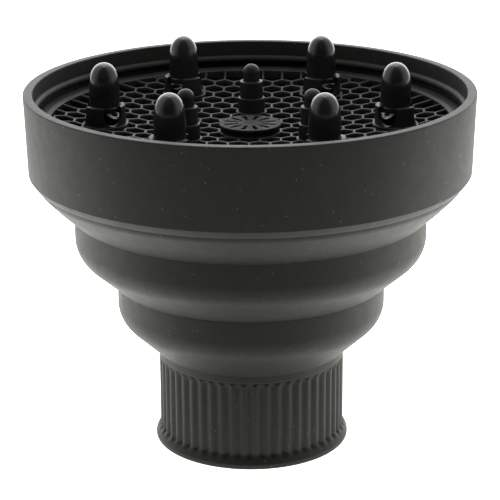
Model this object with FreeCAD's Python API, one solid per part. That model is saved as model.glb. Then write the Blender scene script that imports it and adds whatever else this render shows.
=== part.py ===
"""Collapsible hair-dryer diffuser: a silicone bowl and bellows with a hard grille and fingers.

Millimetres, +Z up. The foot of the neck stands on z = 0 and everything is centred on the Z axis.
Most pieces are turned about Z from an outline in the XZ plane, given as (radius, height) points.
"""
import FreeCAD, Part

import math
import os

# --- driving dimensions -------------------------------------------------------------------------
RIM_Z = 123.4                   # height of the bowl's rim above the foot
RIM_R = 75.0                    # outer radius of the rim
COLLAR_DROP = 27.2              # height of the collar, rim to fold
COLLAR_FOOT_R = 74.1            # outer radius at the collar's bottom edge
COLLAR_WALL = 3.2

WEB_WALL = 2.4                  # wall of a fold, measured level
HOOP_WALL = 2.4                 # wall of an upright hoop
SHOULDER_R = (73.5, 60.0)       # outer radii where the shoulder fold starts and ends
HOOPS = {                       # outer radius, top, bottom of each upright hoop, down from the rim
    "upper": (59.4, 41.6, 49.8),
    "lower": (45.5, 66.0, 73.6),
}
FOLD_BEND_R = 10.0              # outer bend radius from a hoop into its fold
FOLD_SLOPE = math.radians(48.6)  # slope of a fold, from upright

NECK_BORE_R = 28.5              # fits a barrel of 57 mm
NECK_ROOT_R = 30.9              # outer radius between the ribs
NECK_CREST_R = 31.75            # outer radius on the ribs
NECK_TOP = 33.1                 # height of the neck sleeve
NECK_BAND = 2.6                 # plain band above the ribs
NECK_RIBS = 52
FOOT_R = 33.3                   # outer radius of the flared foot
FOOT_LIP = 1.9                  # height of the upright edge of the foot
FOOT_FLARE = 4.6                # height at which the flare meets the ribs
BORE_CHAMFER = 1.0

BEAD_DROP = 5.8                 # centre of the retaining bead, down from the rim
BEAD_HALF = 1.3                 # half the bead's height
BEAD_REACH = 1.5                # how far the bead stands out
GROOVE_R = 72.0
LEDGE_R = 69.2                  # inner radius of the ledge under the grille
LEDGE_THICK = 1.8
LEDGE_TAPER = 2.2

PLATE_DROP = 9.8                # top face of the grille's outer ring, down from the rim
PLATE_RING_THICK = 2.6
PLATE_RING_INNER = 66.5
PLATE_R = 71.9
DISH_DEPTH = 4.9                # how far the grille sinks at its centre
DISH_THICK = 2.0
CELL_PITCH = 6.9                # honeycomb, flat to flat
CELL_WALL = 1.0
CELL_RINGS = 9                  # rings of whole cells round the centre one, a hexagon with corners on +X
SMALLEST_CELL = 4.0             # trimmed cells with less open area than this stay solid
BORDER = 0.7                    # solid border round each hole that a piece stands in

CAP_R = 10.4
CAP_DROP = 12.0                 # top face of the centre cap, down from the rim
CAP_THICK = 1.0
CAP_DRUM_R = 9.4
CAP_DRUM_WALL = 1.2
CAP_SLOTS = 12
CAP_SLOT = ((4.3, 0.7), (8.2, 1.4))  # radius and width of a slot at its inner and outer end

LARGE_RING_R = 7 * CELL_PITCH   # the six large fingers stand on cell centres
LARGE_COUNT = 6
SOCKET_R = 6.9                  # outer radius where it stands in the grille
SOCKET_TOP_R = 6.4
SOCKET_BORE_R = 5.25
SOCKET_DROP = 5.7               # top of a socket, down from the rim
NOTCH_WIDTH = 6.4
NOTCH_FLOOR_DROP = 11.9         # bottom of a notch, down from the rim
NOTCHES = 3
FINGER_RISE = 8.6               # tip of a large finger above the rim
FINGER_R = 5.1                  # at the socket
FINGER_DOME_R = 4.8             # the sides taper slightly up to a round dome
FINGER_SKIRT_DROP = 8.4         # lower end of a large finger, down from the rim
FINGER_WALL = 1.3

SMALL_RING_R = 2 * math.sqrt(3) * CELL_PITCH   # so do the three small ones
SMALL_COUNT = 3
SMALL_RISE = 2.5                # tip of a small finger above the rim
SMALL_STEPS = ((4.6, 9.1), (3.95, 3.4))   # radius and top, down from the rim, of its two lower steps
SMALL_DOME_R = 2.85
STEP_CHAMFER = 0.35

PARTS = "parts"


# --- helpers ------------------------------------------------------------------------------------
def point(r, z, angle=0.0):
    """A point at radius r and height z, turned by angle degrees about Z."""
    a = math.radians(angle)
    return FreeCAD.Vector(r * math.cos(a), r * math.sin(a), z)


def down(drop):
    """Height of something that lies drop below the rim."""
    return RIM_Z - drop


def outline(steps):
    """A closed wire in the XZ plane. A step is (r, z), or (r, z, middle) for an arc to it through middle."""
    edges = []
    here = point(*steps[0][:2])
    for step in list(steps[1:]) + [steps[0][:2]]:
        there = point(*step[:2])
        if len(step) == 3:
            edges.append(Part.Arc(here, point(*step[2]), there).toShape())
        elif here.distanceToPoint(there) > 1e-6:
            edges.append(Part.LineSegment(here, there).toShape())
        here = there
    return Part.Wire(edges)


def turned(steps):
    """The solid swept by an outline turned about Z."""
    face = Part.Face(outline(steps))
    return face.revolve(FreeCAD.Vector(), FreeCAD.Vector(0, 0, 1), 360)


def tube(outer, inner, low, high):
    """An upright tube between two heights."""
    return turned([(inner, low), (outer, low), (outer, high), (inner, high)])


def moved(shape, r, angle):
    """A copy carried out to radius r and turned about Z, so that its own +X points outwards."""
    copy = shape.copy()
    copy.translate(FreeCAD.Vector(r, 0, 0))
    copy.rotate(FreeCAD.Vector(), FreeCAD.Vector(0, 0, 1), angle)
    return copy


def spread(count, first=0.0):
    """count angles, evenly round the circle."""
    return [first + 360.0 * i / count for i in range(count)]


def save(name, shape):
    """Writes one node."""
    solid = shape.Solids[0] if len(shape.Solids) == 1 else shape
    if not solid.isValid() or solid.Volume <= 0:
        raise ValueError(name + " is not a sound solid")
    solid.exportStep(os.path.join(PARTS, name + ".step"))
    print(f"{name}: {solid.Volume:.0f} mm3, {len(shape.Solids)} solid")


# --- silicone -----------------------------------------------------------------------------------
def collar():
    """Upright wall of the bowl, with the bead, groove and ledge that hold the grille."""
    inner = RIM_R - COLLAR_WALL
    bead_top = down(BEAD_DROP - BEAD_HALF)
    bead_foot = down(BEAD_DROP + BEAD_HALF)
    ledge_top = down(PLATE_DROP + PLATE_RING_THICK)
    ledge_foot = ledge_top - LEDGE_THICK
    foot = down(COLLAR_DROP)
    edge = 0.7
    return turned([
        (inner + edge, down(0)),
        (RIM_R - edge, down(0)),
        (RIM_R, down(edge), (RIM_R - 0.3 * edge, down(0.3 * edge))),
        (COLLAR_FOOT_R, foot + edge),
        (COLLAR_FOOT_R - edge, foot, (COLLAR_FOOT_R - 0.3 * edge, foot + 0.3 * edge)),
        (COLLAR_FOOT_R - COLLAR_WALL, foot),
        (COLLAR_FOOT_R - COLLAR_WALL, ledge_foot - LEDGE_TAPER),
        (LEDGE_R, ledge_foot),
        (LEDGE_R, ledge_top),
        (GROOVE_R, ledge_top),
        (GROOVE_R, bead_foot),
        (inner, bead_foot),
        (inner, bead_top, (inner - BEAD_REACH, down(BEAD_DROP))),
        (inner, down(edge)),
    ])


def shoulder_web():
    """Straight conical fold from the collar in to the upper hoop."""
    start, end = SHOULDER_R
    high, low = down(COLLAR_DROP), down(HOOPS["upper"][1])
    return turned([(start, high), (start - WEB_WALL, high), (end - WEB_WALL, low), (end, low)])


def ring(which):
    """Upright hoop of the bellows."""
    r, top, foot = HOOPS[which]
    return tube(r, r - HOOP_WALL, down(foot), down(top))


def web(which, end_r, end_z):
    """Fold below a hoop: a round bend, then a straight cone in to the next smaller piece."""
    r, _, start = HOOPS[which]
    high = down(start)
    half = FOLD_SLOPE / 2

    def bend(radius, angle):
        return r - FOLD_BEND_R + radius * math.cos(angle), high - radius * math.sin(angle)

    inside = FOLD_BEND_R - HOOP_WALL
    return turned([
        (r - HOOP_WALL, high),
        (r, high),
        bend(FOLD_BEND_R, FOLD_SLOPE) + (bend(FOLD_BEND_R, half),),
        (end_r, end_z),
        (end_r - WEB_WALL, end_z),
        bend(inside, FOLD_SLOPE),
        (r - HOOP_WALL, high, bend(inside, half)),
    ])


def neck_sleeve():
    """Tube that grips the dryer, with half-round ribs, a plain band above them and a flared foot."""
    band_foot = NECK_TOP - NECK_BAND
    half = math.pi / NECK_RIBS
    root = [point(NECK_ROOT_R, FOOT_LIP, math.degrees((2 * i - 1) * half)) for i in range(NECK_RIBS)]
    crest = [point(NECK_CREST_R, FOOT_LIP, math.degrees(2 * i * half)) for i in range(NECK_RIBS)]
    scallops = [Part.Arc(root[i], crest[i], root[(i + 1) % NECK_RIBS]).toShape() for i in range(NECK_RIBS)]
    ribbed = Part.Face(Part.Wire(scallops)).extrude(FreeCAD.Vector(0, 0, band_foot - FOOT_LIP))
    band = tube(NECK_CREST_R, NECK_BORE_R, band_foot, NECK_TOP)
    foot = turned([
        (NECK_BORE_R, 0),
        (FOOT_R - 0.5, 0),
        (FOOT_R, 0.5, (FOOT_R - 0.15, 0.15)),
        (FOOT_R, FOOT_LIP),
        (NECK_ROOT_R, FOOT_FLARE),
        (NECK_BORE_R, FOOT_FLARE),
    ])
    bore = turned([
        (0, -1), (NECK_BORE_R + BORE_CHAMFER + 1, -1), (NECK_BORE_R, BORE_CHAMFER),
        (NECK_BORE_R, NECK_TOP + 1), (0, NECK_TOP + 1),
    ])
    return ribbed.fuse([band, foot]).cut(bore).removeSplitter()


# --- hard grille --------------------------------------------------------------------------------
def dish_height(r):
    """Height of the grille's top face at radius r."""
    return down(PLATE_DROP + DISH_DEPTH) + DISH_DEPTH * (r / PLATE_RING_INNER) ** 2


def cell(x, y, outward=None):
    """One honeycomb opening, a flat hexagon with two sides along Y.

    With outward, an angle, its far half is stretched that way, with straight sides, past the outer ring.
    """
    corner_r = (CELL_PITCH - CELL_WALL) / math.sqrt(3)
    corners = [point(corner_r, 0, a) for a in spread(6, 30)]
    if outward is not None:
        far = FreeCAD.Vector(0, PLATE_R, 0)
        right, _, left = corners[:3]
        corners = [right, right + far, left + far] + corners[2:]
    face = Part.Face(Part.makePolygon(corners + corners[:1]))
    face.rotate(FreeCAD.Vector(), FreeCAD.Vector(0, 0, 1), 0 if outward is None else outward - 90)
    face.translate(FreeCAD.Vector(x, y, 0))
    return face


def grille_holes():
    """(radius, centre) of every round hole that another piece stands in."""
    large = [(SOCKET_R, point(LARGE_RING_R, 0, a)) for a in spread(LARGE_COUNT)]
    small = [(SMALL_STEPS[0][0], point(SMALL_RING_R, 0, a)) for a in spread(SMALL_COUNT, 90)]
    return large + small + [(CAP_DRUM_R, FreeCAD.Vector())]


def disc(r, centre):
    """A flat round face."""
    return Part.Face(Part.Wire(Part.makeCircle(r, centre)))


def cell_places():
    """(centre, outward angle) of every opening: a hexagon of whole cells, then stretched ones along its sides."""
    row_step = CELL_PITCH * math.sqrt(3) / 2
    places = []
    for row in range(-CELL_RINGS, CELL_RINGS + 1):
        for column in range(-CELL_RINGS, CELL_RINGS + 1):
            if abs(row + column) <= CELL_RINGS:
                places.append((FreeCAD.Vector((column + row / 2) * CELL_PITCH, row * row_step, 0), None))
    beyond = (CELL_RINGS + 1) * row_step
    half_row = CELL_RINGS / 2
    for outward in spread(6, 30):
        for step in range(CELL_RINGS):
            along = (step - half_row + 0.5) * CELL_PITCH
            places.append((point(beyond, 0, outward) + point(along, 0, outward - 90), outward))
    return places


def cells():
    """Every opening, trimmed by the outer ring and by the borders of the round holes."""
    field = disc(PLATE_RING_INNER, FreeCAD.Vector())
    reach = CELL_PITCH / math.sqrt(3)
    borders = [(r + BORDER, c) for r, c in grille_holes()]
    found = []
    for place, outward in cell_places():
        shape = cell(place.x, place.y, outward)
        if outward is not None:
            shape = shape.common(field)
        for r, centre in borders:
            if place.distanceToPoint(centre) < r + reach:
                shape = shape.cut(disc(r, centre))
        found += [f for f in shape.Faces if f.Area > SMALLEST_CELL]
    return found


def grille_plate():
    """Dished honeycomb plate with a plain outer ring and round holes for the fingers and the cap."""
    centre_z = dish_height(0)
    edge_z = down(PLATE_DROP)
    mid_r = PLATE_RING_INNER / 2
    sunk = dish_height(mid_r)
    blank = turned([
        (0, centre_z),
        (PLATE_RING_INNER, edge_z, (mid_r, sunk)),
        (PLATE_RING_INNER + 1.6, edge_z + 0.5),
        (PLATE_R - 0.5, edge_z + 0.5),
        (PLATE_R, edge_z),
        (PLATE_R, edge_z - PLATE_RING_THICK),
        (PLATE_RING_INNER, edge_z - PLATE_RING_THICK),
        (0, centre_z - DISH_THICK, (mid_r, sunk - DISH_THICK)),
    ])
    low = centre_z - 2 * DISH_THICK
    height = FreeCAD.Vector(0, 0, RIM_Z - low)
    tools = []
    for face in cells() + [disc(r, c) for r, c in grille_holes()]:
        face.translate(FreeCAD.Vector(0, 0, low))
        tools.append(face.extrude(height))
    return blank.cut(tools)


def centre_cap():
    """Slotted disc on a short hollow drum, open below."""
    top = down(CAP_DROP)
    under = top - CAP_THICK
    foot = dish_height(0) - DISH_THICK
    inner = CAP_DRUM_R - CAP_DRUM_WALL
    shape = turned([
        (0, under), (inner, under), (inner, foot), (CAP_DRUM_R, foot), (CAP_DRUM_R, under),
        (CAP_R, under), (CAP_R, top - 0.3), (CAP_R - 0.3, top), (0, top),
    ])
    below = under - CAP_THICK
    (start, narrow), (end, wide) = CAP_SLOT
    ends = ((start, -narrow), (end, -wide), (end, wide), (start, narrow))
    corners = [FreeCAD.Vector(r, w / 2, below) for r, w in ends]
    sides = [Part.LineSegment(corners[i], corners[i + 1]).toShape() for i in (0, 2)]
    outer_end = Part.Arc(corners[1], point(end + wide / 2, below), corners[2]).toShape()
    inner_end = Part.Arc(corners[3], point(start - narrow / 2, below), corners[0]).toShape()
    slot = Part.Face(Part.Wire([sides[0], outer_end, sides[1], inner_end]))
    slot = slot.extrude(FreeCAD.Vector(0, 0, 3 * CAP_THICK))
    return shape.cut([moved(slot, 0, a) for a in spread(CAP_SLOTS, 15)])


# --- fingers ------------------------------------------------------------------------------------
def finger_socket():
    """Short tube with three open-topped, round-bottomed air notches, one of them facing outwards."""
    seat = dish_height(LARGE_RING_R)
    foot = seat - DISH_THICK
    top = down(SOCKET_DROP)
    shape = turned([
        (SOCKET_BORE_R, foot), (SOCKET_R, foot), (SOCKET_R, seat + 0.3), (SOCKET_TOP_R, top - 0.3),
        (SOCKET_TOP_R - 0.3, top), (SOCKET_BORE_R, top),
    ])
    half = NOTCH_WIDTH / 2
    middle = down(NOTCH_FLOOR_DROP) + half
    across = FreeCAD.Vector(1, 0, 0)
    floor = Part.makeCylinder(half, 2 * SOCKET_R, FreeCAD.Vector(0, 0, middle), across)
    open_top = Part.makeBox(2 * SOCKET_R, NOTCH_WIDTH, top - middle + 1, FreeCAD.Vector(0, -half, middle))
    notch = floor.fuse(open_top)
    return shape.cut([moved(notch, 0, a) for a in spread(NOTCHES)])


def large_finger():
    """Bullet-shaped finger, hollow from below, whose skirt sits inside its socket."""
    tip = down(-FINGER_RISE)
    brow = tip - FINGER_DOME_R
    ledge = down(SOCKET_DROP)
    foot = down(FINGER_SKIRT_DROP)
    inside = FINGER_DOME_R - FINGER_WALL
    bend = math.sqrt(0.5)
    return turned([
        (0, tip - FINGER_WALL),
        (0, tip),
        (FINGER_DOME_R, brow, (FINGER_DOME_R * bend, brow + FINGER_DOME_R * bend)),
        (FINGER_R, ledge),
        (SOCKET_BORE_R, ledge),
        (SOCKET_BORE_R, foot),
        (inside, foot),
        (inside, brow),
        (0, tip - FINGER_WALL, (inside * bend, brow + inside * bend)),
    ])


def small_finger():
    """Stepped finger: two short round steps and a domed tip."""
    foot = dish_height(SMALL_RING_R) - DISH_THICK
    steps = [(0, foot), (SMALL_STEPS[0][0], foot)]
    inner = [r for r, _ in SMALL_STEPS[1:]] + [SMALL_DOME_R]
    for (r, drop), following in zip(SMALL_STEPS, inner):
        top = down(drop)
        steps += [(r, top - STEP_CHAMFER), (r - STEP_CHAMFER, top), (following, top)]
    tip = down(-SMALL_RISE)
    bend = math.sqrt(0.5)
    shoulder = tip - SMALL_DOME_R
    steps += [
        (SMALL_DOME_R, shoulder),
        (0, tip, (SMALL_DOME_R * bend, shoulder + SMALL_DOME_R * bend)),
    ]
    return turned(steps)


def main():
    os.makedirs(PARTS, exist_ok=True)
    save("collar", collar())
    save("shoulder_web", shoulder_web())
    save("upper_ring", ring("upper"))
    save("upper_web", web("upper", HOOPS["lower"][0], down(HOOPS["lower"][1])))
    save("lower_ring", ring("lower"))
    save("lower_web", web("lower", NECK_CREST_R, NECK_TOP))
    save("neck_sleeve", neck_sleeve())
    save("grille_plate", grille_plate())
    save("centre_cap", centre_cap())
    for number, angle in enumerate(spread(LARGE_COUNT), 1):
        save(f"finger_socket_{number}", moved(finger_socket(), LARGE_RING_R, angle))
        save(f"large_finger_{number}", moved(large_finger(), LARGE_RING_R, angle))
    for number, angle in enumerate(spread(SMALL_COUNT, 90), 1):
        save(f"small_finger_{number}", moved(small_finger(), SMALL_RING_R, angle))


main()
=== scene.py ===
"""Collapsible hair-dryer diffuser: the visible model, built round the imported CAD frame.

Blender units are metres, +Z up. Outlines are (radius, height) points in millimetres above the foot, with an
optional fillet radius. Most heights are given as drops below the bowl's rim. mesh() scales them to metres.
"""

import math

import bmesh
import bpy
from mathutils import Matrix, Vector


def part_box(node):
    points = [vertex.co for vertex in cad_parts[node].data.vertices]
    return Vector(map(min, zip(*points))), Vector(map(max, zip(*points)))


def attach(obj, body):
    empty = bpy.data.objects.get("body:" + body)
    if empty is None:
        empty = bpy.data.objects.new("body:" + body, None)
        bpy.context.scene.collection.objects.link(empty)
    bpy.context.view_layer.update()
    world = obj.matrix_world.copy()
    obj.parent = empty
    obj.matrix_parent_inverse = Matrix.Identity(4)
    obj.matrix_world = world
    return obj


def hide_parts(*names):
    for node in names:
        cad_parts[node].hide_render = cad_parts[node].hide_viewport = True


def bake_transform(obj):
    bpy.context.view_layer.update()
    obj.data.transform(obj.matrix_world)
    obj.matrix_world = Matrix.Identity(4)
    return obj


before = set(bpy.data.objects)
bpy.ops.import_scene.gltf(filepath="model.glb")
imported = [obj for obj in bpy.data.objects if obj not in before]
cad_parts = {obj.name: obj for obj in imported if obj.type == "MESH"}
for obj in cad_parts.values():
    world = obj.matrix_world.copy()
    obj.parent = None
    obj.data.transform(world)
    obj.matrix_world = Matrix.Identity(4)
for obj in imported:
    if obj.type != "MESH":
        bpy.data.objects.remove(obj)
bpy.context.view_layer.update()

# --- sizes, from the frame --------------------------------------------------------------------------
MM = 0.001


def box_mm(node):
    """Lowest and highest corner of a CAD node, in millimetres."""
    low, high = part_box(node)
    return low / MM, high / MM


RIM_Z = box_mm("collar")[1].z
RIM_R = box_mm("collar")[1].x
UPPER_R = box_mm("upper_ring")[1].x
UPPER_TOP_Z = box_mm("upper_ring")[1].z
UPPER_FOOT_Z = box_mm("upper_ring")[0].z
LOWER_R = box_mm("lower_ring")[1].x
LOWER_TOP_Z = box_mm("lower_ring")[1].z
LOWER_FOOT_Z = box_mm("lower_ring")[0].z
NECK_TOP_Z = box_mm("neck_sleeve")[1].z
FOOT_R = box_mm("neck_sleeve")[1].x
PLATE_R = box_mm("grille_plate")[1].x
PLATE_LOW_Z = box_mm("grille_plate")[0].z
CAP_R = box_mm("centre_cap")[1].x
CAP_TOP_Z = box_mm("centre_cap")[1].z

COLLAR_FOOT_R = RIM_R - 0.9
WALL = 3.2                      # collar wall
RIM_FILLET = 0.45
BEAD_DROP = 6.5                 # centre of the bead that retains the grille
BEAD_R = 1.35                   # its radius
GROOVE_R = 72.0                 # groove that holds the grille's edge
GROOVE_DROP = 8.2               # its top
LEDGE_R = 69.2                  # ledge under the grille
LEDGE_DROP = 12.45              # its top, which is the groove's floor
COLLAR_EDGE = (                 # radius, drop and fillet: down the chamfer and round under the wall
    (COLLAR_FOOT_R, 26.8, 0.3), (72.5, 28.95, 0.2), (72.1, 29.3, 0.1), (71.8, 29.35, 0.1),
)

FOLD_WALL = 2.0                 # wall of the hoops and folds, square to the sheet
SHOULDER_BEND_DROP = 29.8       # the shoulder fold starts to bend here
HOOP_BEND_DROP = 6.0            # a hoop's fold starts to bend this far below the hoop's foot
NECK_CREST_R = 31.75            # on the ribs
NECK_BAND = 2.6                 # plain band above the ribs
NECK_GROOVE = 0.22              # depth of the groove under the band
RIB_DEPTH = 0.85
RIBS = 52
TURNS_PER_RIB = 12              # facets round one rib
BORE_R = 28.5
FOLD_BEND_R = 10.0              # outer bend from a hoop into its fold
FOLD_SLOPE = 48.6               # degrees from upright

RING_INNER_R = 66.5             # inner edge of the grille's plain outer ring
RING_DROP = 9.8
RING_THICK = 2.6
RING_RISE = 0.5                 # how far the ring's top stands above the dish's edge
DISH_DEPTH = 4.9
DISH_THICK = 2.0
PITCH = 6.9                     # honeycomb, flat to flat
HALF_WALL = 0.5                 # half the wall between two cells
CELL_RINGS = 9                  # rings of whole cells round the centre one
WALL_STEPS = (                  # half the profile of a cell's wall: in from its middle, down from its top
    (0.0, 0.0), (0.20, 0.02), (0.34, 0.10), (0.44, 0.24), (HALF_WALL, 0.46),
    (HALF_WALL, DISH_THICK - 0.2), (0.42, DISH_THICK), (0.0, DISH_THICK),
)
CAP_DRUM_R = 9.9
CAP_DRUM_WALL = 1.2
CAP_THICK = 1.0
CAP_SLOTS = 12
CAP_SLOT = ((4.3, 0.45), (8.2, 0.8))  # radius and half width of a slot at its inner and outer end
CAP_BORDER = 0.45               # width of the solid border round the cap's hole
FINGER_BORDER = 0.75            # and round a finger's hole
SOCKET_R = 6.9
SOCKET_TOP_R = 6.75
SOCKET_BORE_R = 5.25
SOCKET_DROP = 5.7
NOTCH_HALF = 3.2
NOTCH_FLOOR_DROP = 11.9

LARGE_COUNT = 6
LARGE_REACH = 7 * PITCH         # from the middle of the grille to a large finger
FINGER_R = 5.1
FINGER_WALL = 1.4
FINGER_RISE = 8.45              # tip of a large finger, above the rim
FINGER_SKIRT_DROP = 7.8         # lower end of the skirt that stands in the socket
FINGER_CROWN = 4.5              # power of the bullet outline: higher is blunter
SMALL_COUNT = 3
SMALL_REACH = 2 * math.sqrt(3) * PITCH
SMALL_R = 4.6                   # foot of a small finger
SMALL_STEP_DROP = 9.1           # top of its lower step
SMALL_MID_R = 3.95              # its upper step
SMALL_MID_DROP = 3.4            # top of the upper step
SMALL_DOME_R = 2.85
SMALL_RISE = 2.5                # its tip, above the rim

TURNS = 240                     # facets round a large turned piece


def down(drop):
    """Height in millimetres of something that lies drop below the rim."""
    return RIM_Z - drop


# --- outlines ---------------------------------------------------------------------------------------
def rounded(corners, closed, facet=9.0):
    """The points of an outline whose corners are (r, z) or (r, z, fillet radius)."""
    out = []
    count = len(corners)
    for i, corner in enumerate(corners):
        here = Vector(corner[:2])
        inner = closed or 0 < i < count - 1
        if len(corner) < 3 or not inner:
            out.append(tuple(here))
            continue
        before = Vector(corners[i - 1][:2]) - here
        after = Vector(corners[(i + 1) % count][:2]) - here
        opening = before.angle(after)
        turn = math.pi - opening
        cut = min(corner[2] / math.tan(opening / 2), 0.499 * before.length, 0.499 * after.length)
        radius = cut * math.tan(opening / 2)
        bisector = (before.normalized() + after.normalized()).normalized()
        centre = here + bisector * (radius / math.sin(opening / 2))
        start = here + before.normalized() * cut - centre
        side = 1 if before.x * after.y - before.y * after.x < 0 else -1
        steps = max(1, round(math.degrees(turn) / facet))
        for k in range(steps + 1):
            a = side * turn * k / steps
            x = start.x * math.cos(a) - start.y * math.sin(a)
            y = start.x * math.sin(a) + start.y * math.cos(a)
            out.append((centre.x + x, centre.y + y))
    return out


def arc(r, z, radius, start, end, steps):
    """Points on an arc about (r, z), from start to end, in degrees from the outward level direction."""
    angles = [math.radians(start + (end - start) * k / steps) for k in range(steps + 1)]
    return [(r + radius * math.cos(a), z + radius * math.sin(a)) for a in angles]


def dense(points, gap):
    """The same line with no two points further apart than gap."""
    out = []
    for a, b in zip(points, points[1:]):
        steps = max(1, math.ceil(math.dist(a, b) / gap))
        out += [(a[0] + (b[0] - a[0]) * k / steps, a[1] + (b[1] - a[1]) * k / steps) for k in range(steps)]
    return out + [points[-1]]


# --- meshes -----------------------------------------------------------------------------------------
def mesh(name, vertices, faces, crease=35.0):
    """A shaded mesh from points in millimetres."""
    data = bpy.data.meshes.new(name)
    data.from_pydata([(x * MM, y * MM, z * MM) for x, y, z in vertices], [], faces)
    finish_mesh(data, crease)
    return data


def finish_mesh(data, crease):
    """Outward faces, smooth but for edges sharper than crease degrees."""
    work = bmesh.new()
    work.from_mesh(data)
    bmesh.ops.remove_doubles(work, verts=work.verts, dist=1e-7)
    bmesh.ops.recalc_face_normals(work, faces=work.faces)
    work.to_mesh(data)
    work.free()
    data.shade_smooth()
    data.set_sharp_from_angle(angle=math.radians(crease))


def turned(name, outline, closed=True, turns=TURNS, radius=None, crease=35.0):
    """An outline turned about Z. radius(r, z, angle), if given, moves a point in or out."""
    vertices = []
    rows = []
    for r, z in outline:
        if r < 1e-6:
            rows.append([len(vertices)] * turns)
            vertices.append((0.0, 0.0, z))
            continue
        rows.append(list(range(len(vertices), len(vertices) + turns)))
        for i in range(turns):
            angle = 2 * math.pi * i / turns
            reach = radius(r, z, angle) if radius else r
            vertices.append((reach * math.cos(angle), reach * math.sin(angle), z))
    faces = []
    pairs = list(zip(rows, rows[1:]))
    if closed:
        pairs.append((rows[-1], rows[0]))
    for upper, lower in pairs:
        for i in range(turns):
            j = (i + 1) % turns
            corners = list(dict.fromkeys((upper[i], upper[j], lower[j], lower[i])))
            if len(corners) > 2:
                faces.append(corners)
    return mesh(name, vertices, faces, crease)


def prism_faces(count):
    """Two ends and the sides of a prism whose ends have count corners each."""
    ends = [list(range(count)), list(range(count, 2 * count))]
    return ends + [[i, (i + 1) % count, count + (i + 1) % count, count + i] for i in range(count)]


def prism(name, outline, low, high):
    """An upright prism on a flat outline of (x, y) points."""
    vertices = [(x, y, low) for x, y in outline] + [(x, y, high) for x, y in outline]
    return mesh(name, vertices, prism_faces(len(outline)))


def placed(data, r, angle):
    """The mesh carried out to radius r and turned about Z, so that its own +X points outwards."""
    data.transform(Matrix.Rotation(math.radians(angle), 4, "Z") @ Matrix.Translation((r * MM, 0, 0)))
    return data


def joined(name, parts):
    """One mesh that holds copies of all parts."""
    work = bmesh.new()
    for part in parts:
        work.from_mesh(part)
    data = bpy.data.meshes.new(name)
    work.to_mesh(data)
    work.free()
    return data


def carved(base, steps, bevel=0.0, crease=35.0, solver="MANIFOLD"):
    """base after boolean steps of (operation, mesh), with its sharp edges bevelled by bevel millimetres."""
    target = bpy.data.objects.new("carve", base)
    bpy.context.scene.collection.objects.link(target)
    helpers = []
    for operation, tool in steps:
        helper = bpy.data.objects.new("tool", tool)
        bpy.context.scene.collection.objects.link(helper)
        helpers.append(helper)
        modifier = target.modifiers.new("cut", "BOOLEAN")
        modifier.operation = operation
        modifier.solver = solver
        modifier.object = helper
    if bevel:
        edge = target.modifiers.new("edge", "BEVEL")
        edge.width = bevel * MM
        edge.segments = 3
        edge.limit_method = "ANGLE"
        edge.angle_limit = math.radians(40)
    bpy.context.view_layer.update()
    result = bpy.data.meshes.new_from_object(target.evaluated_get(bpy.context.evaluated_depsgraph_get()))
    result.name = base.name
    for thing in helpers + [target]:
        bpy.data.objects.remove(thing)
    finish_mesh(result, crease)
    return result


# --- materials --------------------------------------------------------------------------------------
def material(name, colour, roughness, level=0.5):
    """A new principled material, with its node tree and shader."""
    made = bpy.data.materials.new(name)
    made.use_nodes = True
    tree = made.node_tree
    shader = tree.nodes["Principled BSDF"]
    shader.inputs["Base Color"].default_value = (*colour, 1)
    shader.inputs["Roughness"].default_value = roughness
    shader.inputs["Specular IOR Level"].default_value = level
    return made, tree, shader


def noise(tree, scale, detail=4.0, rough=0.55):
    """A noise texture in the piece's own coordinates."""
    place = tree.nodes.new("ShaderNodeTexCoord")
    node = tree.nodes.new("ShaderNodeTexNoise")
    node.inputs["Scale"].default_value = scale
    node.inputs["Detail"].default_value = detail
    node.inputs["Roughness"].default_value = rough
    tree.links.new(place.outputs["Object"], node.inputs["Vector"])
    return node.outputs["Fac"]


def spread_to(tree, value, low, high, start=0.3, end=0.7):
    """value remapped from start..end to low..high."""
    node = tree.nodes.new("ShaderNodeMapRange")
    node.inputs["From Min"].default_value = start
    node.inputs["From Max"].default_value = end
    node.inputs["To Min"].default_value = low
    node.inputs["To Max"].default_value = high
    tree.links.new(value, node.inputs["Value"])
    return node.outputs["Result"]


def mixed(tree, share, first, second):
    """A colour between first and second, each a colour or an output."""
    node = tree.nodes.new("ShaderNodeMix")
    node.data_type = "RGBA"
    tree.links.new(share, node.inputs["Factor"])
    for socket, colour in (("A", first), ("B", second)):
        target = next(i for i in node.inputs if i.name == socket and i.type == "RGBA")
        if isinstance(colour, tuple):
            target.default_value = (*colour, 1)
        else:
            tree.links.new(colour, target)
    return next(o for o in node.outputs if o.type == "RGBA")


def bumped(tree, shader, layers):
    """Bump from (height output, distance in millimetres, strength) layers."""
    normal = None
    for height, distance, strength in layers:
        bump = tree.nodes.new("ShaderNodeBump")
        bump.inputs["Strength"].default_value = strength
        bump.inputs["Distance"].default_value = distance * MM
        tree.links.new(height, bump.inputs["Height"])
        if normal is not None:
            tree.links.new(normal, bump.inputs["Normal"])
        normal = bump.outputs["Normal"]
    tree.links.new(normal, shader.inputs["Normal"])


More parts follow.
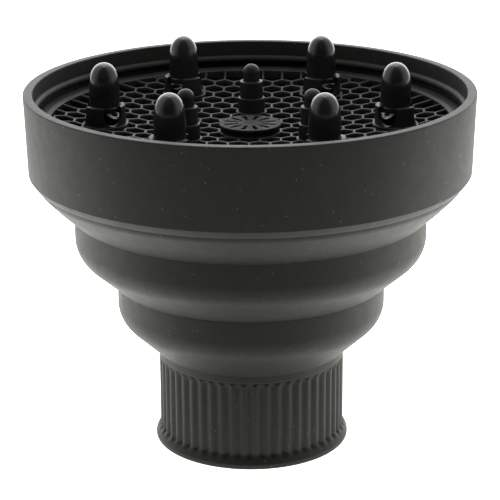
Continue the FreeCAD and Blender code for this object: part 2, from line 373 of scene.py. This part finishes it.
def specks(tree, scale, size, share):
    """1 on a sparse scatter of round dots, 0 elsewhere. share is the part of the cells that hold one."""
    place = tree.nodes.new("ShaderNodeTexCoord")
    cells = tree.nodes.new("ShaderNodeTexVoronoi")
    cells.inputs["Scale"].default_value = scale
    tree.links.new(place.outputs["Object"], cells.inputs["Vector"])
    dot = spread_to(tree, cells.outputs["Distance"], 1.0, 0.0, size * 0.5, size)
    split = tree.nodes.new("ShaderNodeSeparateColor")
    tree.links.new(cells.outputs["Color"], split.inputs["Color"])
    chosen = tree.nodes.new("ShaderNodeMath")
    chosen.operation = "LESS_THAN"
    chosen.inputs[1].default_value = share
    tree.links.new(split.outputs["Red"], chosen.inputs[0])
    both = tree.nodes.new("ShaderNodeMath")
    both.operation = "MULTIPLY"
    tree.links.new(dot, both.inputs[0])
    tree.links.new(chosen.outputs[0], both.inputs[1])
    return both.outputs[0]


def silicone():
    """Matte black silicone: faint mottling, a powdery skin and a few dust specks that cling to it."""
    made, tree, shader = material("silicone", (0.0117, 0.0116, 0.0108), 0.55, 0.24)
    shader.inputs["Specular Tint"].default_value = (1.0, 1.0, 0.97, 1)
    grain = noise(tree, 420, 3, 0.7)
    skin = mixed(tree, spread_to(tree, grain, 0, 1), (0.0098, 0.0098, 0.0091), (0.0136, 0.0135, 0.0126))
    dust = mixed(tree, specks(tree, 420, 0.10, 0.5), skin, (0.11, 0.11, 0.107))
    fine = mixed(tree, specks(tree, 900, 0.13, 0.45), dust, (0.045, 0.045, 0.043))
    tree.links.new(fine, shader.inputs["Base Color"])
    tree.links.new(spread_to(tree, noise(tree, 260), 0.52, 0.58), shader.inputs["Roughness"])
    bumped(tree, shader, [(noise(tree, 2600, 2), 0.02, 0.35), (noise(tree, 480, 3), 0.03, 0.2)])
    return made


def satin_plastic():
    """Satin black moulded plastic of the grille, sockets and small fingers, with a fine even texture."""
    made, tree, shader = material("grille_plastic", (0.010, 0.010, 0.0112), 0.42, 0.13)
    patches = spread_to(tree, noise(tree, 120, 3), 0, 1)
    tone = mixed(tree, patches, (0.0075, 0.0075, 0.0085), (0.0125, 0.0125, 0.0140))
    tree.links.new(tone, shader.inputs["Base Color"])
    tree.links.new(spread_to(tree, noise(tree, 260), 0.36, 0.48), shader.inputs["Roughness"])
    bumped(tree, shader, [(noise(tree, 3200, 2), 0.01, 0.3)])
    return made


def cap_plastic():
    """Duller black plastic of the centre cap, with a fine spark-eroded texture."""
    made, tree, shader = material("cap_plastic", (0.0115, 0.0115, 0.0125), 0.55, 0.06)
    patches = spread_to(tree, noise(tree, 300, 3), 0, 1)
    tone = mixed(tree, patches, (0.0085, 0.0085, 0.0095), (0.0145, 0.0145, 0.0155))
    tree.links.new(tone, shader.inputs["Base Color"])
    tree.links.new(spread_to(tree, noise(tree, 180, 3), 0.46, 0.64), shader.inputs["Roughness"])
    bumped(tree, shader, [(noise(tree, 3000, 2), 0.015, 0.3)])
    return made


def gloss_plastic():
    """Polished black plastic of the large fingers, with a slight waviness and faint handling marks."""
    made, tree, shader = material("finger_plastic", (0.008, 0.008, 0.0092), 0.17, 0.5)
    tree.links.new(spread_to(tree, noise(tree, 420, 5, 0.65), 0.13, 0.21), shader.inputs["Roughness"])
    patches = spread_to(tree, noise(tree, 200, 3), 0, 1)
    tone = mixed(tree, patches, (0.0065, 0.0065, 0.0078), (0.011, 0.011, 0.0125))
    tree.links.new(tone, shader.inputs["Base Color"])
    bumped(tree, shader, [(noise(tree, 700, 3), 0.02, 0.25)])
    return made


SILICONE = silicone()
SATIN = satin_plastic()
DULL = cap_plastic()
GLOSS = gloss_plastic()


def piece(name, data, finish, slot, *nodes):
    """A visible object that stands for these CAD nodes. It still needs a body."""
    made = bpy.data.objects.new(name, data)
    bpy.context.scene.collection.objects.link(made)
    made.data.materials.clear()
    made.data.materials.append(finish)
    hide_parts(*nodes)
    return made


# --- silicone body ----------------------------------------------------------------------------------
def bowl_wall():
    """Collar of the bowl: upright wall, rim, retaining bead, groove, ledge and chamfered bottom edge."""
    inner = RIM_R - WALL
    bead = down(BEAD_DROP)
    low_inner = COLLAR_FOOT_R - WALL
    outline = rounded([
        (inner, down(0), RIM_FILLET),
        (RIM_R, down(0), RIM_FILLET),
        (RIM_R - 0.25, down(6), 30.0),
        *[(r, down(drop), fillet) for r, drop, fillet in COLLAR_EDGE],
        (low_inner, down(29.2), 0.3),
        (low_inner, down(16.4), 1.5),
        (LEDGE_R, down(14.2), 0.5),
        (LEDGE_R, down(LEDGE_DROP), 0.3),
        (GROOVE_R, down(LEDGE_DROP), 0.2),
        (GROOVE_R, down(GROOVE_DROP), 0.5),
        (inner, bead - 1.4, 0.2),
    ], True)
    outline += arc(inner, bead, BEAD_R, 270, 90, 14)
    data = turned("bowl_wall", outline)
    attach(piece("bowl_wall", data, SILICONE, "silicone", "collar"), "bowl")


def fold(name, path, bodies, start, end, *nodes):
    """A silicone sheet along an outside path of the bellows. start and end are not used.

    Where the sheet turns tighter than its wall is thick, the wall's inner face crosses itself.
    """
    data = turned(name, dense(path, 0.7), closed=False, crease=50.0)
    made = piece(name, data, SILICONE, "silicone", *nodes)
    wall = made.modifiers.new("wall", "SOLIDIFY")
    wall.thickness = FOLD_WALL * MM
    wall.offset = -1
    wall.use_even_offset = False
    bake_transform(made)


def shoulder_path():
    """From inside the collar's bottom edge down a slightly crowned cone, to end behind the upper hoop."""
    return rounded([
        (71.6, down(27.6)),
        (71.8, down(29.2), 0.15),
        (71.2, down(30.9), 5.0),
        (66.3, down(36.0), 30.0),
        (UPPER_R + 0.7, UPPER_TOP_Z, 0.4),
        (UPPER_R - 0.9, UPPER_TOP_Z - 0.9, 0.6),
        (UPPER_R - 1.1, UPPER_TOP_Z - 3.0),
    ], False)


def hoop_path(r, top, foot, end_r, end_z):
    """Upright hoop, a round bend, and a straight cone that ends tucked behind the next piece."""
    bend = arc(r - FOLD_BEND_R, foot, FOLD_BEND_R, 0, -FOLD_SLOPE, 12)
    head = rounded([
        (r - 1.6, top + 0.35),
        (r - 0.4, top + 0.35, 0.25),
        (r, top - 0.2, 0.5),
        bend[0],
    ], False)
    tuck = rounded([
        bend[-1],
        (end_r + 0.45, end_z, 0.3),
        (end_r - 1.1, end_z - 0.5, 0.5),
        (end_r - 1.3, end_z - 3.0),
    ], False)
    return head[:-1] + bend + tuck[1:]


def bellows():
    """The three folds, from the bowl down to the neck."""
    fold("shoulder_fold", shoulder_path(),
         ("bowl", "upper_hoop"), down(SHOULDER_BEND_DROP), UPPER_TOP_Z, "shoulder_web")
    fold("upper_fold", hoop_path(UPPER_R, UPPER_TOP_Z, UPPER_FOOT_Z, LOWER_R, LOWER_TOP_Z),
         ("upper_hoop", "lower_hoop"), UPPER_FOOT_Z - HOOP_BEND_DROP, LOWER_TOP_Z, "upper_ring", "upper_web")
    fold("lower_fold", hoop_path(LOWER_R, LOWER_TOP_Z, LOWER_FOOT_Z, NECK_CREST_R, NECK_TOP_Z),
         ("lower_hoop", "neck"), LOWER_FOOT_Z - HOOP_BEND_DROP, NECK_TOP_Z, "lower_ring", "lower_web")


def neck():
    """Ribbed grip sleeve with a plain band above the ribs and a smooth flared foot."""
    band_foot = NECK_TOP_Z - NECK_BAND
    band_r = NECK_CREST_R + 0.08
    groove_r = NECK_CREST_R - NECK_GROOVE
    outline = rounded([
        (BORE_R, 0, 0.8),
        (FOOT_R, 0, 0.8),
        (FOOT_R, 1.7, 1.2),
        (NECK_CREST_R, 4.7, 2.5),
        (NECK_CREST_R, band_foot - 0.7),
        (groove_r, band_foot - 0.45, 0.2),
        (groove_r, band_foot - 0.1, 0.15),
        (band_r, band_foot + 0.2, 0.2),
        (band_r, NECK_TOP_Z, 0.12),
        (BORE_R, NECK_TOP_Z, 0.5),
    ], True)
    outline = dense(outline + outline[:1], 0.9)[:-1]

    def ribbed(r, z, angle):
        """Outer radius between and on the ribs, which fade out under the band and above the foot."""
        if r < (BORE_R + NECK_CREST_R) / 2:
            return r
        fade_top = min(1.0, max(0.0, (band_foot - 0.5 - z) / 0.8))
        fade_foot = min(1.0, max(0.0, (z - 3.7) / 0.9))
        valley = 1 - abs(math.sin(RIBS * angle / 2)) ** 1.25
        return r - RIB_DEPTH * valley * math.sqrt(fade_top * fade_foot)

    data = turned("neck_sleeve_skin", outline, turns=RIBS * TURNS_PER_RIB, radius=ribbed, crease=60.0)
    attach(piece("neck_sleeve_skin", data, SILICONE, "silicone", "neck_sleeve"), "neck")


# --- grille -----------------------------------------------------------------------------------------
def dish(r):
    """Height of the grille's top face."""
    return down(RING_DROP + DISH_DEPTH) + DISH_DEPTH * (min(r, RING_INNER_R + 0.6) / RING_INNER_R) ** 2


def turn_point(x, y, angle):
    """(x, y) turned about the origin by angle degrees."""
    a = math.radians(angle)
    return x * math.cos(a) - y * math.sin(a), x * math.sin(a) + y * math.cos(a)


def cell_places():
    """(x, y, outward angle) of every opening: a hexagon of whole cells, then stretched ones on its sides."""
    row_step = PITCH * math.sqrt(3) / 2
    places = []
    for row in range(-CELL_RINGS, CELL_RINGS + 1):
        for column in range(-CELL_RINGS, CELL_RINGS + 1):
            if abs(row + column) <= CELL_RINGS:
                places.append(((column + row / 2) * PITCH, row * row_step, None))
    for side in range(6):
        for step in range(CELL_RINGS):
            along = (step - CELL_RINGS / 2 + 0.5) * PITCH
            places.append((*turn_point(along, (CELL_RINGS + 1) * row_step, 60 * side), 60 * side))
    return places


def cell_loop(inset, stretched):
    """Corner points of a cell's opening, inset from the wall's middle, with rounded corners."""
    reach = (PITCH / 2 - inset) / math.cos(math.pi / 6)
    far = PLATE_R - 2.0 - (CELL_RINGS + 1) * PITCH * math.sqrt(3) / 2
    round_r = 1.5 * inset
    shift = round_r * math.tan(math.pi / 6) if inset else 0.9
    points = []
    for k in range(6):
        towards = 30 + 60 * k
        corner = Vector(turn_point(reach, 0, towards))
        before = corner + Vector(turn_point(shift, 0, towards - 120))
        after = corner + Vector(turn_point(shift, 0, towards + 120))
        middle = corner - Vector(turn_point(round_r * (1 / math.cos(math.pi / 6) - 1), 0, towards))
        near = (before + middle) / 2 if inset else (before + corner) / 2
        past = (after + middle) / 2 if inset else (after + corner) / 2
        bend = [before, near, middle, past, after]
        if stretched and k in (0, 1, 2):
            bend = stretched_corner(k, reach, far, inset)
        points += bend
    return points


def stretched_corner(k, reach, far, inset):
    """The far end of a stretched cell, straight across, where the outer ring covers it."""
    half = reach * math.cos(math.pi / 6)
    if k == 1:
        return [Vector((half * s, far - inset)) for s in (0.5, 0.25, 0.0, -0.25, -0.5)]
    side = 1 if k == 0 else -1
    heights = [(far - inset) * t for t in (0.0, 0.3, 0.6, 0.85, 1.0)]
    if k == 2:
        heights.reverse()
    return [Vector((half * side, h)) for h in heights]


def honeycomb():
    """The open lattice: every cell is a ring of wall faces, and neighbours share the wall's middle line."""
    vertices = []
    faces = []
    known = {}
    rim = {}

    def vertex(x, y, drop, layer):
        key = (round(x, 4), round(y, 4), layer)
        if key not in known:
            known[key] = len(vertices)
            vertices.append((x, y, dish(math.hypot(x, y)) - drop))
        return known[key]

    for cx, cy, outward in cell_places():
        loops = []
        for layer, (inset, drop) in enumerate(WALL_STEPS):
            loop = []
            for p in cell_loop(inset, outward is not None):
                x, y = turn_point(p.x, p.y, outward or 0)
                loop.append(vertex(cx + x, cy + y, drop, layer))
            loops.append(loop)
        count = len(loops[0])
        for upper, lower in zip(loops, loops[1:]):
            for i in range(count):
                j = (i + 1) % count
                faces.append((upper[i], upper[j], lower[j], lower[i]))
        for i in range(count):
            j = (i + 1) % count
            edge = frozenset((loops[0][i], loops[0][j]))
            rim[edge] = None if edge in rim else (loops[0][i], loops[0][j], loops[-1][j], loops[-1][i])
    faces += [quad for quad in rim.values() if quad]
    return mesh("grille", vertices, faces)


def disc(r, low, high, x=0.0, y=0.0, facets=96):
    """A plain upright cylinder, used as a cutter or a border."""
    ring = [(x + r * math.cos(2 * math.pi * i / facets), y + r * math.sin(2 * math.pi * i / facets))
            for i in range(facets)]
    return prism("disc", ring, low, high)


def finger_places():
    """(x, y, turn, radius of its hole) of the six large and three small fingers."""
    large = [(*turn_point(LARGE_REACH, 0, a), a, SOCKET_R) for a in (60 * k for k in range(LARGE_COUNT))]
    small = [(*turn_point(SMALL_REACH, 0, a), a, SMALL_R) for a in (90 + 120 * k for k in range(SMALL_COUNT))]
    return large + small


def border(r, x, y, wide):
    """Raised solid border round a hole, level across its width, following the dish's height there."""
    z = dish(math.hypot(x, y))
    outline = rounded([
        (r - 0.4, z + 0.12),
        (r + wide, z + 0.12, 0.2),
        (r + wide, z - DISH_THICK + 0.1, 0.2),
        (r - 0.4, z - DISH_THICK + 0.1),
    ], True)
    data = turned("border", outline, turns=72)
    data.transform(Matrix.Translation((x * MM, y * MM, 0)))
    return data


def grille():
    """Dished honeycomb plate with its plain outer ring and the bordered holes for the fingers and cap."""
    top = down(RING_DROP)
    high = RIM_Z
    low = PLATE_LOW_Z - 2
    ring = turned("ring", rounded([
        (RING_INNER_R, top + 0.05, 0.25),
        (RING_INNER_R + 1.6, top + RING_RISE, 1.0),
        (PLATE_R, top + RING_RISE, 0.4),
        (PLATE_R, top - RING_THICK, 0.3),
        (RING_INNER_R, top - RING_THICK, 0.3),
    ], True))
    holes = [(x, y, r, FINGER_BORDER) for x, y, _, r in finger_places()]
    holes.append((0.0, 0.0, CAP_DRUM_R, CAP_BORDER))
    steps = [("INTERSECT", disc(RING_INNER_R + 1.2, low, high, facets=TURNS)), ("UNION", ring)]
    steps += [("UNION", border(r, x, y, wide)) for x, y, r, wide in holes]
    steps += [("DIFFERENCE", disc(r, low, high, x, y)) for x, y, r, _ in holes]
    data = carved(honeycomb(), steps, crease=38.0)
    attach(piece("grille", data, SATIN, "grille_plastic", "grille_plate"), "bowl")


def cap():
    """Slotted disc on its hollow drum."""
    foot = dish(0) - DISH_THICK
    under = CAP_TOP_Z - CAP_THICK
    drum_inner = CAP_DRUM_R - CAP_DRUM_WALL
    body = turned("cap", rounded([
        (0, under), (drum_inner, under, 0.3), (drum_inner, foot, 0.2), (CAP_DRUM_R, foot, 0.2),
        (CAP_DRUM_R, under, 0.3), (CAP_R, under, 0.2), (CAP_R, CAP_TOP_Z, 0.3), (0, CAP_TOP_Z),
    ], False), turns=144)
    (start, narrow), (end, wide) = CAP_SLOT
    shape = arc(start, 0, narrow, 90, 270, 6) + arc(end, 0, wide, -90, 90, 10)
    slots = []
    for k in range(CAP_SLOTS):
        slots.append(placed(prism("slot", shape, under - 1, CAP_TOP_Z + 1), 0, 15 + 30 * k))
    data = carved(body, [("DIFFERENCE", joined("slots", slots))], bevel=0.05, solver="EXACT")
    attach(piece("cap", data, DULL, "grille_plastic", "centre_cap"), "bowl")


# --- fingers ----------------------------------------------------------------------------------------
def socket_mesh(name):
    """Tapered tube with three open-topped, round-bottomed notches, standing at the origin."""
    seat = dish(LARGE_REACH)
    top = down(SOCKET_DROP)
    body = turned(name, rounded([
        (SOCKET_BORE_R, seat - DISH_THICK), (SOCKET_R, seat - DISH_THICK), (SOCKET_R, seat + 0.3, 0.5),
        (SOCKET_TOP_R, top, 0.35), (SOCKET_BORE_R, top, 0.15),
    ], True), turns=120)
    middle = down(NOTCH_FLOOR_DROP) + NOTCH_HALF
    shape = arc(0, middle, NOTCH_HALF, 180, 360, 20) + [(NOTCH_HALF, top + 2), (-NOTCH_HALF, top + 2)]
    notches = []
    for k in range(3):
        vertices = [(1.0, y, z) for y, z in shape] + [(12.0, y, z) for y, z in shape]
        notches.append(placed(mesh("notch", vertices, prism_faces(len(shape))), 0, 120 * k))
    return carved(body, [("DIFFERENCE", notch) for notch in notches], bevel=0.4, solver="EXACT")


def large_finger_mesh(name):
    """Bullet-shaped finger in one smooth outline, hollow from below, with its skirt in the socket."""
    tip = down(-FINGER_RISE)
    ledge = down(SOCKET_DROP)
    foot = down(FINGER_SKIRT_DROP)
    inside = FINGER_R - FINGER_WALL
    skirt_r = SOCKET_BORE_R - 0.02

    def bullet(r, top, steps):
        """Outline from top down to the ledge, of radius r there."""
        heights = [math.sin(math.pi / 2 * k / steps) for k in range(steps, 0, -1)]
        return [(r * math.sqrt(1 - t ** FINGER_CROWN), ledge + (top - ledge) * t) for t in heights]

    hollow = bullet(inside, tip - FINGER_WALL, 12)
    outline = bullet(FINGER_R, tip, 40) + rounded([
        (FINGER_R, ledge + 0.2), (FINGER_R, ledge - 0.2, 0.3),
        (skirt_r, ledge - 0.5, 0.2), (skirt_r, foot, 0.35), (inside, foot, 0.35),
        (inside, ledge),
    ], False) + hollow[::-1]
    outline[0] = (0, tip)
    outline[-1] = (0, hollow[-1][1])
    return turned(name, outline, closed=False, turns=96)


def small_finger_mesh(name):
    """Two round steps and a domed tip, each step with a softly rounded edge."""
    foot = dish(SMALL_REACH) - DISH_THICK
    step = down(SMALL_STEP_DROP)
    shelf = down(SMALL_MID_DROP)
    tip = down(-SMALL_RISE)
    dome = tip - SMALL_DOME_R
    outline = rounded([
        (0, foot), (SMALL_R, foot, 0.2), (SMALL_R, step, 0.2), (SMALL_MID_R, step + 0.05, 0.15),
        (SMALL_MID_R, shelf, 0.2), (SMALL_DOME_R, shelf + 0.05, 0.15), (SMALL_DOME_R, dome),
    ], False)
    outline += arc(0, dome, SMALL_DOME_R, 0, 90, 14)[1:-1] + [(0, tip)]
    return turned(name, outline, closed=False, turns=96)


def fingers():
    """Every finger and socket at its own place."""
    for k, (x, y, turn, r) in enumerate(finger_places()):
        reach = math.hypot(x, y)
        if r == SOCKET_R:
            number = k + 1
            made = placed(socket_mesh(f"socket_{number}"), reach, turn)
            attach(piece(f"socket_{number}", made, SATIN, "grille_plastic", f"finger_socket_{number}"),
                    "bowl")
            made = placed(large_finger_mesh(f"finger_{number}"), reach, turn)
            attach(piece(f"finger_{number}", made, GLOSS, "finger_plastic", f"large_finger_{number}"),
                    "bowl")
        else:
            number = k + 1 - LARGE_COUNT
            made = placed(small_finger_mesh(f"pin_{number}"), reach, turn)
            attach(piece(f"pin_{number}", made, SATIN, "finger_plastic", f"small_finger_{number}"), "bowl")


# --- studio -----------------------------------------------------------------------------------------
def floor():
    """Plain white table with painted light: painted shade greys it in front, and a painted pool of light
    glows brightest under the object, less far back.
    """
    made, tree, shader = material("floor_painted_light", (0.9, 0.9, 0.9), 0.7, 0.2)
    place = tree.nodes.new("ShaderNodeTexCoord")
    split = tree.nodes.new("ShaderNodeSeparateXYZ")
    tree.links.new(place.outputs["Object"], split.inputs["Vector"])
    # Painted shade: the floor's colour goes from white to dark grey towards the front.
    front = spread_to(tree, split.outputs["Y"], 0.0, 1.0, -0.35, -0.05)
    tree.links.new(mixed(tree, front, (0.38, 0.38, 0.38), (0.9, 0.9, 0.9)), shader.inputs["Base Color"])
    # Painted light: a warm glow pooled round the object, strongest under it and just behind, fading far back.
    shader.inputs["Emission Color"].default_value = (1, 1, 0.91, 1)
    rise = spread_to(tree, split.outputs["Y"], 0.02, 1.75, -0.085, -0.035)
    fade = spread_to(tree, split.outputs["Y"], 0.0, 0.9, 0.10, 0.35)
    painted_glow = tree.nodes.new("ShaderNodeMath")
    painted_glow.operation = "SUBTRACT"
    tree.links.new(rise, painted_glow.inputs[0])
    tree.links.new(fade, painted_glow.inputs[1])
    tree.links.new(painted_glow.outputs[0], shader.inputs["Emission Strength"])
    bpy.ops.mesh.primitive_plane_add(size=12, location=(0, 0, -0.0002))
    plane = bpy.context.object
    plane.name = "floor"
    plane.data.materials.append(made)


def sky():
    """White tent light that depends on its heading only: nearly dark in front, strongest behind."""
    world = bpy.data.worlds.new("tent")
    bpy.context.scene.world = world
    world.use_nodes = True
    tree = world.node_tree
    back = tree.nodes["Background"]
    direction = tree.nodes.new("ShaderNodeTexCoord")
    level = tree.nodes.new("ShaderNodeVectorMath")
    level.operation = "MULTIPLY"
    level.inputs[1].default_value = (1, 1, 0)
    tree.links.new(direction.outputs["Generated"], level.inputs[0])
    heading = tree.nodes.new("ShaderNodeVectorMath")
    heading.operation = "NORMALIZE"
    tree.links.new(level.outputs["Vector"], heading.inputs[0])
    split = tree.nodes.new("ShaderNodeSeparateXYZ")
    tree.links.new(heading.outputs["Vector"], split.inputs["Vector"])
    around = spread_to(tree, split.outputs["Y"], 0.02, 1.0, -0.80, -0.15)
    behind = spread_to(tree, split.outputs["Y"], 0.0, 2.4, 0.5, 0.9)
    light = tree.nodes.new("ShaderNodeMath")
    light.operation = "ADD"
    tree.links.new(around, light.inputs[0])
    tree.links.new(behind, light.inputs[1])
    tree.links.new(light.outputs[0], back.inputs["Strength"])
    back.inputs["Color"].default_value = (1, 1, 1, 1)


def lamp(name, place, target, size, power):
    """A large square softbox that is kept out of the reflections."""
    data = bpy.data.lights.new(name, "AREA")
    data.shape = "SQUARE"
    data.size = size
    data.energy = power
    made = bpy.data.objects.new(name, data)
    made.location = place
    made.rotation_euler = (Vector(target) - Vector(place)).to_track_quat("-Z", "Y").to_euler()
    made.visible_glossy = False
    bpy.context.scene.collection.objects.link(made)


def camera():
    """Long lens, a little above the bowl, turned slightly off the line of the fingers."""
    reach = 0.6406
    shift = -0.00028
    above_rim = 0.1552
    side = math.radians(1.3)
    pitch = math.radians(18.302)
    roll = math.radians(0.34)
    data = bpy.data.cameras.new("camera")
    data.sensor_width = 36
    data.lens = 142.8
    data.clip_start = 0.01
    made = bpy.data.objects.new("camera", data)
    turn = Matrix.Rotation(side, 4, "Z")
    made.matrix_world = (turn @ Matrix.Translation((shift, -reach, RIM_Z * MM + above_rim))
                         @ Matrix.Rotation(math.pi / 2 - pitch, 4, "X") @ Matrix.Rotation(-roll, 4, "Z"))
    bpy.context.scene.collection.objects.link(made)
    bpy.context.scene.camera = made


def studio():
    """Floor, light and camera."""
    floor()
    sky()
    lamp("top_softbox", (0, -0.12, 0.8), (0, 0, 0), 0.5, 6)
    camera()
    bpy.context.scene.view_settings.view_transform = "Standard"


bowl_wall()
bellows()
neck()
grille()
cap()
fingers()
studio()
